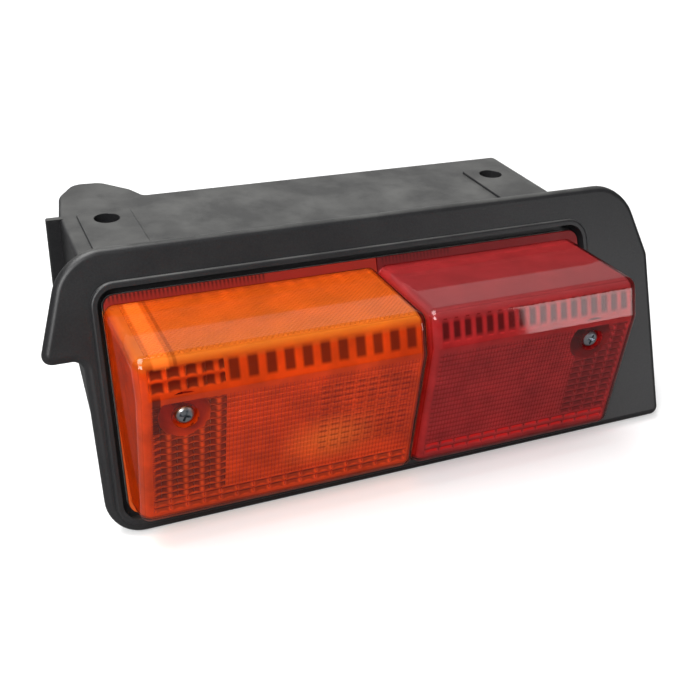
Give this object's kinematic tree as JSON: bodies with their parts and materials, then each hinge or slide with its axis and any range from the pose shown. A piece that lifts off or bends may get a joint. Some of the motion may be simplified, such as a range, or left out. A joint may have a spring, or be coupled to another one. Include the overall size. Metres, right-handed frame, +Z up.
{
  "type": "tail light cluster",
  "caption": "Tail light cluster: an amber turn signal lens beside a red stop and tail lens in a black moulded housing whose rear box bolts up under a bracket.",
  "frame": {"origin": "midway between the two bolt holes, on the top faces of the pads", "axes": "+X along the lamp from the amber lens to the red lens, +Y from the lenses to the rear, +Z up"},
  "size_m": [0.2731, 0.1593, 0.1029],
  "materials": {
    "black_housing": "satin, fine grain, scuffed",
    "base_plastic": "satin",
    "amber_lens": "polished, clear amber",
    "red_lens": "polished, clear red",
    "seal_rubber": "matte foam rubber",
    "reflector": "bright plated",
    "plated_steel": "zinc plated",
    "insulator": "pressed laminate",
    "spring_steel": "bright wire",
    "bulb_cap": "nickelled brass",
    "bulb_glass": "clear",
    "filament": "drawn wire and glass stem",
    "screw_steel": "zinc plated, lightly worn",
    "contact_brass": "rolled strip",
    "grommet_rubber": "matte"
  },
  "bodies": {
    "root": {"housing": "black_housing", "lamp_base": "base_plastic", "amber_lens": "amber_lens", "red_lens": "red_lens", "amber_lens_seal": "seal_rubber", "red_lens_seal": "seal_rubber", "amber_reflector": "reflector", "red_reflector": "reflector", "indicator_socket": "plated_steel", "stop_socket": "plated_steel", "indicator_contact_disc": "insulator", "stop_contact_disc": "insulator", "indicator_spring": "spring_steel", "stop_spring": "spring_steel", "indicator_bulb_cap": "bulb_cap", "stop_bulb_cap": "bulb_cap", "indicator_bulb_glass": "bulb_glass", "stop_bulb_glass": "bulb_glass", "indicator_filament": "filament", "stop_filament": "filament", "amber_lens_screw": "screw_steel", "red_lens_screw": "screw_steel", "base_screws": "screw_steel", "indicator_terminal": "contact_brass", "stop_terminal": "contact_brass", "tail_terminal": "contact_brass", "earth_strip": "contact_brass", "cable_grommet": "grommet_rubber"}
  },
  "joints": []
}
